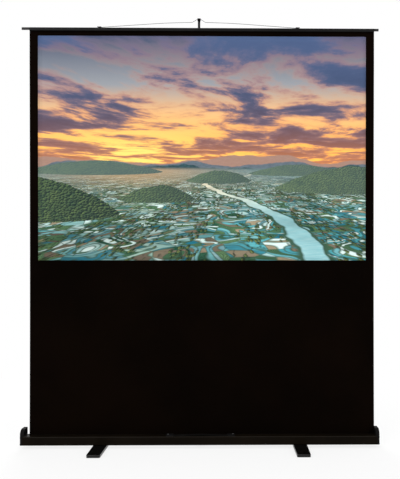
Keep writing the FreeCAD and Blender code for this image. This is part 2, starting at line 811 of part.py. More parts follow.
def make_pivot_knob():
    """The star knob that clamps the fold."""
    body = new_body("pole_pivot_knob")
    face = f"({BRACKET_BACK} + knob_gap)"
    grip = f"({face} + knob_hub_height)"
    pad(body, "XZ", [Circle("0", PIVOT, "knob_diameter / 2")], grip, "knob_height", 1)
    reach = "(knob_diameter / 2 + knob_scallop / 2 - knob_scallop_depth)"
    cuts = [
        Circle(
            f"{reach} * cos({turn} * 360 deg / knob_lobes)",
            f"{PIVOT} + {reach} * sin({turn} * 360 deg / knob_lobes)",
            "knob_scallop / 2",
        )
        for turn in range(round(value("knob_lobes")))
    ]
    pocket(body, "XZ", cuts, grip, "knob_height", 1)
    bevel_edges(body, "knob_edge", edges_at("Y", f"{grip} + knob_height"))
    pad(body, "XZ", [Circle("0", PIVOT, "knob_hub / 2")], face, "knob_hub_height", 1)
    bore = [Circle("0", PIVOT, "pivot_bolt / 2 + running_clearance")]
    pocket(body, "XZ", bore, face, "knob_hub_height + knob_height / 2", 1)
    return body


def make_knuckle():
    """The block at the pole's foot that turns between the bracket's ears and plugs into the lower tube."""
    body = new_body("pole_knuckle")
    start = POLE_PLANE
    pad(body, "XZ", [Circle("0", PIVOT, "knuckle_round")], start, "knuckle_thickness", 0)
    block = rectangle("-knuckle_round", "knuckle_round", PIVOT, LOWER_TUBE_BOTTOM)
    pad(body, "XZ", [block], start, "knuckle_thickness", 0)
    spigot = [Circle(*POLE, "lower_tube / 2 - tube_wall")]
    pad(body, "XY", spigot, LOWER_TUBE_BOTTOM, "knuckle_spigot", 1)
    bore = [Circle("0", PIVOT, "pivot_bolt / 2 + running_clearance")]
    pocket(body, "XZ", bore, start, "knuckle_thickness", 0)
    return body


def make_pole_tube(name, diameter, bottom, top):
    return tube(name, "Z", POLE, f"{diameter} / 2", f"{diameter} / 2 - tube_wall", bottom, top)


def make_glide(name, tube_diameter, outer_diameter, bottom):
    """A bush on the lower end of an inner tube, which guides it in the tube outside it."""
    body = new_body(name)
    guide = f"{outer_diameter} / 2 - tube_wall - running_clearance"
    bore = Circle(*POLE, f"{tube_diameter} / 2")
    pad(body, "XY", [Circle(*POLE, guide), bore], bottom, "glide_length", 1)
    pad(body, "XY", [Circle(*POLE, guide)], bottom, "glide_flange", -1)
    return body


def make_collar(name, outer_tube, inner_tube, tube_top):
    """A split collar: it grips the outer tube's end, and its ears pull it tight round the inner tube."""
    body = new_body(name)
    low = f"({tube_top} + collar_rise - collar_height)"
    ring = f"({outer_tube} / 2 + collar_wall)"
    pad(body, "XY", [Circle(*POLE, ring)], low, "collar_height", 1)
    for end in (low, f"{low} + collar_height"):
        bevel_edges(body, "collar_edge", edges_at("Z", end))
    half_ear = "(ear_width / 2)"
    ear_back = f"{POLE_PLANE} + ear_reach"
    ears = rectangle(f"-{half_ear}", half_ear, POLE_PLANE, ear_back)
    middle = f"({low} + collar_height / 2)"
    pad(body, "XY", [ears], middle, "ear_height", 0)
    ear_corners = [(ear_back, f"{middle} + {side} * ear_height / 2") for side in (-1, 1)]
    round_edges(body, "ear_height / 4", edges_along("X", ear_corners))
    pocket(body, "XY", [Circle(*POLE, f"{outer_tube} / 2")], low, "collar_height - collar_rise", 1)
    pocket(body, "XY", [Circle(*POLE, f"{inner_tube} / 2 + tube_fit")], tube_top, "collar_rise", 1)
    split = rectangle("-clamp_split / 2", "clamp_split / 2", POLE_PLANE, ear_back)
    pocket(body, "XY", [split], low, "collar_height", 1)
    bolt = [Circle(CLAMP_BOLT_PLANE, middle, "clamp_bolt / 2 + screw_clearance")]
    pocket(body, "YZ", bolt, "0", "ear_width", 0)
    return body


def clamp_middle(tube_top):
    return f"({tube_top} + collar_rise - collar_height / 2)"


LEVER_PIN_X = "(ear_width / 2 + lever_pin_offset)"


def make_clamp_bolt(name, tube_top):
    """The bolt through the ears, with the cross pin that the lever turns on."""
    body = new_body(name)
    middle = clamp_middle(tube_top)
    centre = (CLAMP_BOLT_PLANE, middle)
    pad(body, "YZ", [Circle(*centre, "clamp_bolt_head / 2")], "ear_width / 2", "clamp_bolt_head_height", 1)
    shank_length = f"ear_width / 2 + {LEVER_PIN_X}"
    pad(body, "YZ", [Circle(*centre, "clamp_bolt / 2")], "ear_width / 2", shank_length, -1)
    pin = [Circle(f"-{LEVER_PIN_X}", CLAMP_BOLT_PLANE, "lever_pin / 2")]
    pad(body, "XY", pin, middle, "lever_height", 0)
    return body


def make_clamp_lever(name, outer_tube, tube_top):
    """The cam lever: two cam discs on the pin, and an arm that lies round the collar's left side."""
    body = new_body(name)
    middle = clamp_middle(tube_top)
    cam = "(lever_pin_offset - lever_cam_gap)"
    inner = f"-({outer_tube} / 2 + collar_wall + lever_arm_gap)"
    outer = f"({inner} - lever_arm)"
    pad(body, "XY", [Circle(f"-{LEVER_PIN_X}", CLAMP_BOLT_PLANE, cam)], middle, "lever_height", 0)
    arm = [
        (f"-{LEVER_PIN_X}", f"{CLAMP_BOLT_PLANE} - {cam}"),
        (f"-{LEVER_PIN_X}", f"{CLAMP_BOLT_PLANE} + {cam}"),
        (f"-{LEVER_PIN_X} - {cam}", CLAMP_BOLT_PLANE),
        (outer, f"{CLAMP_BOLT_PLANE} - clamp_bolt_reach / 2"),
        (outer, f"{POLE_PLANE} - lever_tip / 2"),
        (f"{outer} + lever_arm / 2", f"{POLE_PLANE} - lever_tip"),
        (f"{inner} + lever_arm / 4", f"{POLE_PLANE} - lever_tip"),
        (inner, f"{POLE_PLANE} - lever_tip / 2"),
        (inner, f"{CLAMP_BOLT_PLANE} - clamp_bolt_reach * 2 / 3"),
    ]
    pad(body, "XY", [arm], middle, "lever_height", 0)
    round_edges(body, "lever_edge", edges_along("Z", arm[3:6]))
    pocket(
        body,
        "XY",
        [Circle(f"-{LEVER_PIN_X}", CLAMP_BOLT_PLANE, "lever_pin / 2 + running_clearance")],
        middle,
        "lever_height",
        0,
    )
    slot = Circle(f"-{LEVER_PIN_X}", CLAMP_BOLT_PLANE, f"{cam} * 3 / 2")
    pocket(body, "XY", [slot], middle, "lever_slot", 0)
    return body


def make_hook():
    """The hook in the pole's tip: a floor for the wire's hump, a lip in front and a high back."""
    body = new_body("pole_hook")
    back = f"({POLE_PLANE} + upper_tube / 2)"
    notch_back = f"({HOOK_NOTCH_PLANE} + hook_notch / 2)"
    notch_front = f"({HOOK_NOTCH_PLANE} - hook_notch / 2)"
    front = f"({notch_front} - hook_lip)"
    lip_top = f"({HOOK_FLOOR} + hook_lip_height)"
    top = f"({HOOK_FLOOR} + hook_back_height)"
    side_view = [
        (back, UPPER_TUBE_TOP),
        (back, top),
        (f"{POLE_PLANE} - upper_tube / 2", top),
        (notch_back, lip_top),
        (notch_back, HOOK_FLOOR),
        (notch_front, HOOK_FLOOR),
        (notch_front, lip_top),
        (front, lip_top),
        (front, f"{UPPER_TUBE_TOP} + hook_floor / 2"),
        (f"{POLE_PLANE} - upper_tube / 2", UPPER_TUBE_TOP),
    ]
    pad(body, "YZ", [side_view], "0", "upper_tube", 0)
    round_edges(body, "hook_edge", edges_along("X", [side_view[1], side_view[2], side_view[6], side_view[7]]))
    head = rectangle(f"{POLE_PLANE} - upper_tube / 2", back, f"{top} - hook_head_height", top)
    pad(body, "YZ", [head], "0", "hook_head_width", 0)
    for side in (LEFT, RIGHT):
        round_edges(body, "hook_edge", edges_at("X", mirrored(side, "hook_head_width / 2")))
    spigot = [Circle(*POLE, "upper_tube / 2 - tube_wall")]
    pad(body, "XY", spigot, UPPER_TUBE_TOP, "hook_spigot", -1)
    return body


# Feet


def make_foot_bar(side, name):
    """A flat foot, hollowed from below between its ends and the pivot boss."""
    body = new_body(name)
    half = "(foot_length / 2)"
    plan = [
        ("-foot_tip_width / 2", f"-{half}"),
        ("foot_tip_width / 2", f"-{half}"),
        ("foot_width / 2", "0"),
        ("foot_tip_width / 2", half),
        ("-foot_tip_width / 2", half),
        ("-foot_width / 2", "0"),
    ]
    pad(body, "XY", [plan], "pad_stand", "foot_thickness", 1)
    round_edges(body, "foot_corner", edges_along("Z", [plan[0], plan[1], plan[3], plan[4]]))
    round_edges(body, "foot_edge", edges_at("Z", FOOT_TOP))
    for end in (-1, 1):
        hollow = rectangle(
            "foot_wall - foot_tip_width / 2",
            "foot_tip_width / 2 - foot_wall",
            f"{end} * foot_boss",
            f"{end} * ({half} - foot_end_block)",
        )
        pocket(body, "XY", [hollow], "pad_stand", "foot_hollow_depth", 1)
    pocket(body, "XY", [Circle("0", y, "pad_diameter / 2") for y in PAD_PLACES], "pad_stand", "pad_seat", 1)
    head = [Circle("0", "0", "foot_pivot_head / 2 + roll_clearance")]
    pocket(body, "XY", head, "pad_stand", "foot_pivot_head_height + roll_clearance", 1)
    bore = [Circle("0", "0", "foot_pivot / 2 + running_clearance")]
    pocket(body, "XY", bore, "pad_stand", "foot_thickness", 1)
    place(body, x=mirrored(side, "foot_reach"))
    return body


PAD_PLACES = [f"{end} * (foot_length / 2 - pad_inset)" for end in (-1, 1)]


def make_foot_pads(side, name):
    body = new_body(name)
    pad(body, "XY", [Circle("0", y, "pad_diameter / 2") for y in PAD_PLACES], "0", "pad_stand + pad_seat", 1)
    place(body, x=mirrored(side, "foot_reach"))
    return body


def make_foot_pivot(side, name):
    """The shoulder rivet that a foot swivels on: head under the foot, thin flange inside the case."""
    body = turned(
        name,
        "Z",
        (("0", "0"), "foot_pivot_head / 2", "pad_stand", "pad_stand + foot_pivot_head_height"),
        (("0", "0"), "foot_pivot / 2", "pad_stand + foot_pivot_head_height", f"{CASE_BOTTOM} + case_wall"),
        (
            ("0", "0"),
            "foot_pivot_head / 2",
            f"{CASE_BOTTOM} + case_wall",
            f"{CASE_BOTTOM} + case_wall + foot_pivot_flange",
        ),
    )
    place(body, x=mirrored(side, "foot_reach"))
    return body


# Carry handle

HANDLE_SCREWS = [mirrored(side, "(handle_reach + handle_screw_offset)") for side in (LEFT, RIGHT)]
HANDLE_INNER = "(handle_reach - handle_cap_length / 2)"


def make_carry_handle():
    """A flat strap along the case's top, both ends held in the end caps."""
    body = new_body("carry_handle")
    end = f"({HANDLE_INNER} + handle_strap_end)"
    strap = rectangle(
        f"-{end}", end, "handle_plane - handle_width / 2", "handle_plane + handle_width / 2"
    )
    pad(body, "XY", [strap], CASE_TOP, "handle_thickness", 1)
    return body


def make_handle_end_caps():
    body = new_body("handle_end_caps")
    half_cap = "(handle_cap_width / 2)"
    half_strap = "(handle_width / 2 + screw_clearance)"
    for side in (LEFT, RIGHT):
        inner = mirrored(side, HANDLE_INNER)
        outline = rectangle(
            inner,
            mirrored(side, f"({HANDLE_INNER} + handle_cap_length)"),
            f"handle_plane - {half_cap}",
            f"handle_plane + {half_cap}",
        )
        pad(body, "XY", [outline], CASE_TOP, "handle_cap_height", 1)
        round_edges(body, "handle_cap_edge * 2", edges_along("Z", outline))
    round_edges(body, "handle_cap_edge", edges_at("Z", f"{CASE_TOP} + handle_cap_height"))
    for side in (LEFT, RIGHT):
        inner = mirrored(side, HANDLE_INNER)
        channel = rectangle(
            inner,
            mirrored(side, f"({HANDLE_INNER} + handle_strap_end + screw_clearance)"),
            f"handle_plane - {half_strap}",
            f"handle_plane + {half_strap}",
        )
        pocket(body, "XY", [channel], CASE_TOP, "handle_thickness + screw_clearance", 1)
    bores = [Circle(x, "handle_plane", "handle_screw / 2 + screw_clearance") for x in HANDLE_SCREWS]
    pocket(body, "XY", bores, CASE_TOP, "handle_cap_height", 1)
    return body


def make_handle_screws():
    body = new_body("handle_screws")
    top = f"({CASE_TOP} + handle_cap_height)"
    heads = [Circle(x, "handle_plane", "handle_screw_head / 2") for x in HANDLE_SCREWS]
    pad(body, "XY", heads, top, "handle_screw_head_height", 1)
    shanks = [Circle(x, "handle_plane", "handle_screw / 2") for x in HANDLE_SCREWS]
    pad(body, "XY", shanks, top, "handle_screw_length", -1)
    centres = [(x, "handle_plane") for x in HANDLE_SCREWS]
    cross_recesses(body, "XY", centres, f"{top} + handle_screw_head_height", -1)
    return body


def make_hanger():
    """The wire, its clips and the pole, set together at their place along the bar and the case."""
    pieces = [
        make_suspension_wire(),
        make_pole_bracket(),
        make_pole_bracket_screws(),
        make_pivot_bolt(),
        make_pivot_knob(),
        make_knuckle(),
        make_pole_tube("pole_lower_tube", "lower_tube", LOWER_TUBE_BOTTOM, LOWER_TUBE_TOP),
        make_pole_tube("pole_middle_tube", "middle_tube", MIDDLE_TUBE_BOTTOM, MIDDLE_TUBE_TOP),
        make_pole_tube("pole_upper_tube", "upper_tube", UPPER_TUBE_BOTTOM, UPPER_TUBE_TOP),
        make_glide("middle_tube_glide", "middle_tube", "lower_tube", MIDDLE_TUBE_BOTTOM),
        make_glide("upper_tube_glide", "upper_tube", "middle_tube", UPPER_TUBE_BOTTOM),
        make_hook(),
    ]
    clamps = (
        ("lower", "lower_tube", "middle_tube", LOWER_TUBE_TOP),
        ("upper", "middle_tube", "upper_tube", MIDDLE_TUBE_TOP),
    )
    for level, outer, inner, tube_top in clamps:
        pieces.append(make_collar(f"{level}_clamp_collar", outer, inner, tube_top))
        pieces.append(make_clamp_bolt(f"{level}_clamp_bolt", tube_top))
        pieces.append(make_clamp_lever(f"{level}_clamp_lever", outer, tube_top))
    for side, word in ((LEFT, "left"), (RIGHT, "right")):
        pieces.append(make_wire_clip(side, f"{word}_wire_clip"))
    for piece in pieces:
        place(piece, x="hanger_shift")
    return pieces


def make_all():
    pieces = [
        make_case(),
        make_slot_liners(),
        make_end_cap_screws(),
        make_spring_shaft(),
        make_roller_spring(),
        make_roller_tube(),
        make_fabric_roll(),
        make_screen_fabric(),
        make_viewing_surface(),
        make_top_bar(),
        make_fabric_spline(),
        make_carry_handle(),
        make_handle_end_caps(),
        make_handle_screws(),
    ]
    pieces += make_hanger()
    for side, word in ((LEFT, "left"), (RIGHT, "right")):
        pieces.append(make_end_cap(side, f"{word}_end_cap"))
        pieces.append(make_roller_bracket(side, f"{word}_roller_bracket"))
        pieces.append(make_roller_plug(side, f"{word}_roller_plug"))
        pieces.append(make_bar_end(side, f"{word}_bar_end"))
        pieces.append(make_foot_bar(side, f"{word}_foot_bar"))
        pieces.append(make_foot_pads(side, f"{word}_foot_pads"))
        pieces.append(make_foot_pivot(side, f"{word}_foot_pivot"))
    return pieces


def main():
    pieces = make_all()
    doc.recompute()
    for item in doc.Objects:
        if "Invalid" in item.State or "Error" in item.State:
            raise ValueError(f"{item.Label} failed: {item.State}")
    for piece in pieces:
        if piece.Shape.isNull() or not piece.Shape.isValid() or not piece.Shape.Solids:
            raise ValueError(f"{piece.Label} has no valid solid")
    for piece in pieces:
        piece.Shape.exportStep(f"parts/{piece.Label}.step")
    print(f"{len(pieces)} pieces written")


main()
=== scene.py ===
import math

import bpy
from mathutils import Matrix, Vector


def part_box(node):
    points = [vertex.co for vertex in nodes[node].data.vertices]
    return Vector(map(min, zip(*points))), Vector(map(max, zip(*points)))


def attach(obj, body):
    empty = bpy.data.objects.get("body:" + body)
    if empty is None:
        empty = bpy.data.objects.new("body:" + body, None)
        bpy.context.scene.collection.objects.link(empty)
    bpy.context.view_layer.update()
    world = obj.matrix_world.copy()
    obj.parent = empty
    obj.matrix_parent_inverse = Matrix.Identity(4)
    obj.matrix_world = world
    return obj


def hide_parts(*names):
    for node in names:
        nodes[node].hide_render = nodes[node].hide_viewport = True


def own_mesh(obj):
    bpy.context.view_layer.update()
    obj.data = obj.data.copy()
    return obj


# A floor-standing projection screen: the finishes and soft pieces around its solids, in metres.
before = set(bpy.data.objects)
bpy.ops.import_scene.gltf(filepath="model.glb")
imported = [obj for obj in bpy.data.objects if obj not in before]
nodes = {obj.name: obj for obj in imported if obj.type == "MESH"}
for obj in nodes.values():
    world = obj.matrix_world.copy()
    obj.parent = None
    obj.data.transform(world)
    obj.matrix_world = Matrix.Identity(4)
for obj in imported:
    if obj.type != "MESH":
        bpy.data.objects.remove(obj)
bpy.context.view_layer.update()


def srgb(red, green, blue):
    """A screen colour of 0 to 255 as the linear colour that a shader takes."""
    def linear(value):
        part = value / 255
        return part / 12.92 if part <= 0.04045 else ((part + 0.055) / 1.055) ** 2.4
    return (linear(red), linear(green), linear(blue), 1.0)


def scaled(colour, factor):
    return (colour[0] * factor, colour[1] * factor, colour[2] * factor, 1.0)


def paler(colour, factor, lift):
    """The colour of a surface where it is rubbed, also used as the colour of the painted highlight along
    rounded upper rims.
    """
    return tuple(min(1.0, part * factor + lift) for part in colour[:3]) + (1.0,)


class Graph:
    """A node tree with a method for each kind of node that it uses."""

    def __init__(self, tree):
        self.tree = tree

    def join(self, socket, value):
        if isinstance(value, bpy.types.NodeSocket):
            self.tree.links.new(value, socket)
        else:
            socket.default_value = value

    def add(self, kind, inputs=(), **settings):
        node = self.tree.nodes.new(kind)
        for name, value in settings.items():
            setattr(node, name, value)
        for name, value in dict(inputs).items():
            self.join(node.inputs[name], value)
        return node

    def math(self, operation, first, second=0.0, third=0.0, clamp=False):
        values = {0: first, 1: second, 2: third}
        return self.add("ShaderNodeMath", values, operation=operation, use_clamp=clamp).outputs[0]

    def plus(self, first, second):
        return self.math("ADD", first, second)

    def minus(self, first, second):
        return self.math("SUBTRACT", first, second)

    def times(self, first, second):
        return self.math("MULTIPLY", first, second)

    def times_plus(self, value, factor, addend):
        return self.math("MULTIPLY_ADD", value, factor, addend)

    def over(self, first, second):
        return self.math("DIVIDE", first, second)

    def power(self, value, exponent):
        return self.math("POWER", value, exponent)

    def larger(self, first, second):
        return self.math("MAXIMUM", first, second)

    def vector(self, operation, first, second):
        node = self.add("ShaderNodeVectorMath", {0: first, 1: second}, operation=operation)
        return node.outputs["Value" if operation == "DOT_PRODUCT" else "Vector"]

    def stretched(self, vector, factors):
        return self.vector("MULTIPLY", vector, factors)

    def combine(self, x, y, z=0.0):
        return self.add("ShaderNodeCombineXYZ", {"X": x, "Y": y, "Z": z}).outputs[0]

    def split(self, vector):
        return self.add("ShaderNodeSeparateXYZ", {0: vector}).outputs

    def channels(self, colour):
        return self.add("ShaderNodeSeparateColor", {0: colour}).outputs

    def flat_place(self, layer):
        return self.add("ShaderNodeUVMap", uv_map=layer).outputs[0]

    def solid_place(self):
        return self.add("ShaderNodeTexCoord").outputs["Object"]

    def noise(self, vector, scale, detail=2.0, roughness=0.5, distortion=0.0):
        inputs = {
            "Vector": vector,
            "Scale": scale,
            "Detail": detail,
            "Roughness": roughness,
            "Distortion": distortion,
        }
        return self.add("ShaderNodeTexNoise", inputs).outputs[0]

    def voronoi(self, vector, scale, feature="F1"):
        return self.add("ShaderNodeTexVoronoi", {"Vector": vector, "Scale": scale}, feature=feature)

    def spread(self, value, low, high, to_low=0.0, to_high=1.0):
        """A smooth step from to_low to to_high, as the value goes from low to high."""
        inputs = {"Value": value, "From Min": low, "From Max": high, "To Min": to_low, "To Max": to_high}
        return self.add("ShaderNodeMapRange", inputs, interpolation_type="SMOOTHSTEP").outputs[0]

    def ramp(self, value, stops):
        node = self.add("ShaderNodeValToRGB", {"Fac": value})
        elements = node.color_ramp.elements
        elements[0].position, elements[0].color = stops[0]
        elements[1].position, elements[1].color = stops[-1]
        for position, colour in stops[1:-1]:
            elements.new(position).color = colour
        return node.outputs["Color"]

    def mix(self, factor, first, second, blend="MIX"):
        inputs = {0: factor, 6: first, 7: second}
        return self.add("ShaderNodeMix", inputs, data_type="RGBA", blend_type=blend).outputs[2]

    def bump(self, height, strength, distance):
        inputs = {"Height": height, "Strength": strength, "Distance": distance}
        return self.add("ShaderNodeBump", inputs).outputs["Normal"]

    def background_seen(self):
        """1 where the background itself is seen, straight, mirrored or through glass."""
        path = self.add("ShaderNodeLightPath")
        seen = self.larger(path.outputs["Is Camera Ray"], path.outputs["Is Glossy Ray"])
        return self.larger(seen, path.outputs["Is Transmission Ray"])


def new_material(name):
    material = bpy.data.materials.new(name)
    material.use_nodes = True
    graph = Graph(material.node_tree)
    return material, graph, material.node_tree.nodes["Principled BSDF"]


# coated metal, plastic and rubber
ALONG_X = (0.02, 1.0, 1.0)
ALONG_Z = (1.0, 1.0, 0.03)
EVEN = (1.0, 1.0, 1.0)


def edge_mask(graph, radius):
    """1 along the sharp edges of a solid, 0 on its faces."""
    soft = graph.add("ShaderNodeBevel", {"Radius": radius}, samples=4).outputs[0]
    hard = graph.add("ShaderNodeNewGeometry").outputs["Normal"]
    return graph.spread(graph.vector("DOT_PRODUCT", soft, hard), 0.995, 0.80)


def upper_rims(graph):
    """1 along the rounded upper edges of a level profile, 0 on its flat faces."""
    normal = graph.split(graph.add("ShaderNodeTexCoord").outputs["Normal"])
    sideways = graph.math("ABSOLUTE", normal["Y"])
    upward = graph.larger(normal["Z"], 0.0)
    return graph.spread(graph.times(sideways, upward), 0.1, 0.45)


def satin(
    name, colour, rough, specular, lines, metallic=0.0, wear=0.35, rim_highlight_share=0.0, grain=900.0, depth=0.00012
):
    """A coated or drawn surface: fine grain, uneven gloss, sharp edges rubbed paler and a painted highlight
    along the rounded upper edges.

    The grain is drawn out along the axis where lines is small. wear says how much the sharp edges are
    rubbed, and the rim share sets the painted highlight along the rounded upper ones, where light from above
    catches them.
    """
    material, graph, surface = new_material(name)
    place = graph.solid_place()
    drawn = graph.stretched(place, lines)
    fine = graph.noise(drawn, scale=grain, detail=3.0, roughness=0.6)
    broad = graph.noise(place, scale=7.0, detail=4.0, roughness=0.6)
    tint = graph.mix(graph.spread(broad, 0.3, 0.7), scaled(colour, 0.78), scaled(colour, 1.22))
    patches = graph.spread(graph.noise(place, scale=60.0, detail=4.0), 0.4, 0.7)
    pale_share = graph.times(graph.times(edge_mask(graph, radius=0.0012), patches), wear)
    # The rim share paints a highlight along the rounded upper edges: the light line that lamps overhead put
    # there, not wear.
    if rim_highlight_share:
        uneven = graph.spread(graph.noise(drawn, scale=40.0, detail=4.0), 0.25, 0.65, 0.5, 1.0)
        painted_rim_highlight = graph.times(graph.times(upper_rims(graph), uneven), rim_highlight_share)
        pale_share = graph.larger(pale_share, painted_rim_highlight)
    graph.join(surface.inputs["Base Color"], graph.mix(pale_share, tint, paler(colour, 3.0, 0.012)))
    shine = graph.spread(fine, 0.3, 0.7, rough - 0.05, rough + 0.05)
    patchy = graph.spread(broad, 0.25, 0.75, -0.05, 0.06)
    graph.join(surface.inputs["Roughness"], graph.plus(shine, patchy))
    surface.inputs["Metallic"].default_value = metallic
    surface.inputs["Specular IOR Level"].default_value = specular
    graph.join(surface.inputs["Normal"], graph.bump(fine, strength=0.35, distance=depth))
    return material


def bare_metal(name, colour, rough, lines):
    return satin(name, colour, rough, specular=0.5, lines=lines, metallic=1.0, wear=0.1)


def moulded(name, colour, rough, specular):
    """Moulded plastic or rubber: a spark-eroded grain, scuffs and edges rubbed paler."""
    material, graph, surface = new_material(name)
    place = graph.solid_place()
    pits = graph.voronoi(place, scale=1500.0).outputs["Distance"]
    cloud = graph.noise(place, scale=22.0, detail=4.0, roughness=0.6)
    tint = graph.mix(graph.spread(cloud, 0.3, 0.7), scaled(colour, 0.8), scaled(colour, 1.25))
    strokes = graph.stretched(place, (1.0, 5.0, 1.0))
    scuff = graph.spread(graph.noise(strokes, scale=90.0, detail=5.0, roughness=0.7), 0.62, 0.75)
    pale = paler(colour, 2.5, 0.006)
    worn = graph.mix(graph.times(scuff, 0.25), tint, pale)
    pale_share = graph.times(edge_mask(graph, radius=0.0010), 0.35)
    graph.join(surface.inputs["Base Color"], graph.mix(pale_share, worn, pale))
    graph.join(surface.inputs["Roughness"], graph.spread(cloud, 0.2, 0.8, rough - 0.07, rough + 0.08))
    surface.inputs["Specular IOR Level"].default_value = specular
    graph.join(surface.inputs["Normal"], graph.bump(pits, strength=0.3, distance=0.00012))
    return material


# cloth
WEAVE_PITCH = 0.0009


def woven(graph, place):
    """Height of a plain weave whose threads run along the two directions of a plane."""
    x, y = graph.split(place)[:2]
    turn = 2 * math.pi / WEAVE_PITCH
    across = graph.math("SINE", graph.times(x, turn))
    along = graph.math("SINE", graph.times(y, turn))
    return graph.times(across, along)


def cloth_black():
    """Black coated cloth: a fine weave, faint creases across it and a little uneven dye."""
    material, graph, surface = new_material("screen_cloth_black")
    place = graph.flat_place("cloth")
    base = srgb(8, 4, 2)
    cloud = graph.noise(place, scale=1.6, detail=5.0, roughness=0.6)
    dye = graph.mix(graph.spread(cloud, 0.3, 0.7), scaled(base, 0.6), scaled(base, 1.25))
    graph.join(surface.inputs["Base Color"], dye)
    graph.join(surface.inputs["Roughness"], graph.spread(cloud, 0.2, 0.8, 0.74, 0.86))
    surface.inputs["Specular IOR Level"].default_value = 0.01
    surface.inputs["Sheen Weight"].default_value = 0.012
    surface.inputs["Sheen Roughness"].default_value = 0.3
    crease = graph.noise(graph.stretched(place, (0.6, 9.0, 1.0)), scale=2.4, detail=4.0, roughness=0.55)
    height = graph.times_plus(woven(graph, place), 0.12, graph.times(crease, 2.0))
    graph.join(surface.inputs["Normal"], graph.bump(height, strength=0.3, distance=0.0006))
    return material


# the made-up picture on the viewing surface, in shares of its width and height
HORIZON = 0.43
VALLEY_END = 0.012
VANISHING_ACROSS = 0.62
GROUND_WIDTH = 0.145
GROUND_DEPTH = 0.1
SUN_ACROSS = 0.29
SUN_HEIGHT = 0.05
CLOUDS_END_ACROSS = 0.8
CLOUDS_END_HEIGHT = -0.24
CLOUD_WIDTH = 1.5
CLOUD_DEPTH = 1.35
CLOUD_SEED = 2.1
TERRACE_LEVELS = 30.0
LOT_SCALE = 33.0
ROWS_PER_LEVEL = 6
WATER_EDGE = 0.016
SHORE_EDGE = 0.024


def evening_sky(graph, across, height):
    """Sky colour by height over the horizon, with a low sun on the left and clouds that run off to the right.

    Gives the sky and the glow of the sun.
    """
    sky = graph.ramp(height, [
        (0.0, srgb(255, 190, 84)),
        (0.18, srgb(252, 182, 92)),
        (0.38, srgb(232, 180, 122)),
        (0.62, srgb(142, 146, 152)),
        (1.0, srgb(58, 70, 98)),
    ])
    sun_x = graph.times(graph.minus(across, SUN_ACROSS), 1.7)
    sun_y = graph.times(graph.minus(height, SUN_HEIGHT), 1.9)
    far_off = graph.plus(graph.power(sun_x, 2.0), graph.power(sun_y, 2.0))
    glow = graph.math("EXPONENT", graph.times(far_off, -7.0))
    sky = graph.mix(graph.times(glow, 0.9), sky, srgb(255, 222, 120))
    depth = graph.over(1.0, graph.minus(height, CLOUDS_END_HEIGHT))
    drift = graph.combine(
        graph.times(graph.times(graph.minus(across, CLOUDS_END_ACROSS), depth), CLOUD_WIDTH),
        graph.times(depth, CLOUD_DEPTH),
        CLOUD_SEED,
    )
    broad = graph.noise(drift, scale=1.5, detail=9.0, roughness=0.6, distortion=0.5)
    torn = graph.noise(drift, scale=5.0, detail=7.0, roughness=0.62)
    cover = graph.times_plus(broad, 0.8, graph.times(torn, 0.2))
    cloud = graph.ramp(graph.spread(cover, 0.41, 0.62), [
        (0.0, srgb(244, 176, 104)),
        (0.2, srgb(204, 132, 96)),
        (0.45, srgb(116, 96, 106)),
        (0.7, srgb(58, 68, 96)),
        (1.0, srgb(34, 48, 78)),
    ])
    warm = graph.times(graph.power(graph.minus(1.0, height), 5.0), 0.6)
    cloud = graph.mix(warm, cloud, srgb(232, 140, 74))
    cool = graph.times(graph.power(height, 1.5), 0.88)
    cloud = graph.mix(cool, cloud, srgb(74, 92, 128))
    return graph.mix(graph.spread(cover, 0.40, 0.52, 0.0, 0.96), sky, cloud), glow


def hill_ranges(graph, across, up, picture):
    """Three ranges of wooded hills in front of the sky, hazier with distance."""
    for base, rise, pace, seed, tone, contrast in (
        (0.455, 0.075, 3.1, 1.7, srgb(158, 126, 112), 0.05),
        (0.435, 0.062, 4.6, 8.2, srgb(96, 108, 118), 0.14),
        (0.415, 0.050, 7.5, 4.4, srgb(52, 80, 86), 0.3),
    ):
        line = graph.noise(graph.combine(graph.times(across, pace), seed), scale=1.0, detail=6.0)
        crest = graph.times_plus(line, 2 * rise, base - rise)
        spot = graph.combine(across, graph.times(up, 2.0), seed)
        wooded = graph.spread(graph.noise(spot, scale=60.0, detail=4.0, roughness=0.7), 0.35, 0.7)
        slope = graph.mix(wooded, scaled(tone, 1 - contrast), scaled(tone, 1 + contrast))
        inside = graph.spread(graph.minus(crest, up), 0.0, 0.005)
        picture = graph.mix(inside, picture, slope)
    return picture


def water_ripple(graph, ground):
    """Short waves that lie across the line of sight."""
    return graph.noise(graph.stretched(ground, (60.0, 300.0, 1.0)), scale=1.0, detail=3.0, roughness=0.7)


